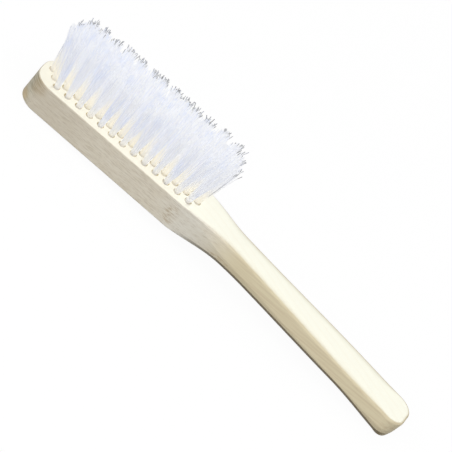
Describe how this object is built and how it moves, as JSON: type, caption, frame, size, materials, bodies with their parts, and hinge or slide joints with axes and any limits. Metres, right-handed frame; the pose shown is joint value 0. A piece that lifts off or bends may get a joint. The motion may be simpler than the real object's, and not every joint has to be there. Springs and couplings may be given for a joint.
{
  "type": "spotting brush",
  "caption": "Spotting brush with a one-piece beech block and lowered, rounded handle, and staggered tufts of stiff nylon filament for working stains out of cloth.",
  "frame": {"origin": "on the flat back of the head, midway along the head and on its centre line", "axes": "+X along the brush from the head towards the handle's end, +Y across it, +Z square to the head's back, the way the bristles stand"},
  "size_m": [0.2333, 0.027, 0.0588],
  "materials": {
    "beech": "raw, sanded",
    "nylon_filament": "translucent white"
  },
  "bodies": {
    "root": {"beech_body": "beech", "tuft_r1_01": "nylon_filament", "tuft_r1_02": "nylon_filament", "tuft_r1_03": "nylon_filament", "tuft_r1_04": "nylon_filament", "tuft_r1_05": "nylon_filament", "tuft_r1_06": "nylon_filament", "tuft_r1_07": "nylon_filament", "tuft_r1_08": "nylon_filament", "tuft_r1_09": "nylon_filament", "tuft_r1_10": "nylon_filament", "tuft_r1_11": "nylon_filament", "tuft_r1_12": "nylon_filament", "tuft_r1_13": "nylon_filament", "tuft_r2_01": "nylon_filament", "tuft_r2_02": "nylon_filament", "tuft_r2_03": "nylon_filament", "tuft_r2_04": "nylon_filament", "tuft_r2_05": "nylon_filament", "tuft_r2_06": "nylon_filament", "tuft_r2_07": "nylon_filament", "tuft_r2_08": "nylon_filament", "tuft_r2_09": "nylon_filament", "tuft_r2_10": "nylon_filament", "tuft_r2_11": "nylon_filament", "tuft_r2_12": "nylon_filament", "tuft_r2_13": "nylon_filament", "tuft_r2_14": "nylon_filament", "tuft_r3_01": "nylon_filament", "tuft_r3_02": "nylon_filament", "tuft_r3_03": "nylon_filament", "tuft_r3_04": "nylon_filament", "tuft_r3_05": "nylon_filament", "tuft_r3_06": "nylon_filament", "tuft_r3_07": "nylon_filament", "tuft_r3_08": "nylon_filament", "tuft_r3_09": "nylon_filament", "tuft_r3_10": "nylon_filament", "tuft_r3_11": "nylon_filament", "tuft_r3_12": "nylon_filament", "tuft_r3_13": "nylon_filament", "tuft_r3_14": "nylon_filament", "tuft_r4_01": "nylon_filament", "tuft_r4_02": "nylon_filament", "tuft_r4_03": "nylon_filament", "tuft_r4_04": "nylon_filament", "tuft_r4_05": "nylon_filament", "tuft_r4_06": "nylon_filament", "tuft_r4_07": "nylon_filament", "tuft_r4_08": "nylon_filament", "tuft_r4_09": "nylon_filament", "tuft_r4_10": "nylon_filament", "tuft_r4_11": "nylon_filament", "tuft_r4_12": "nylon_filament", "tuft_r4_13": "nylon_filament"}
  },
  "joints": []
}
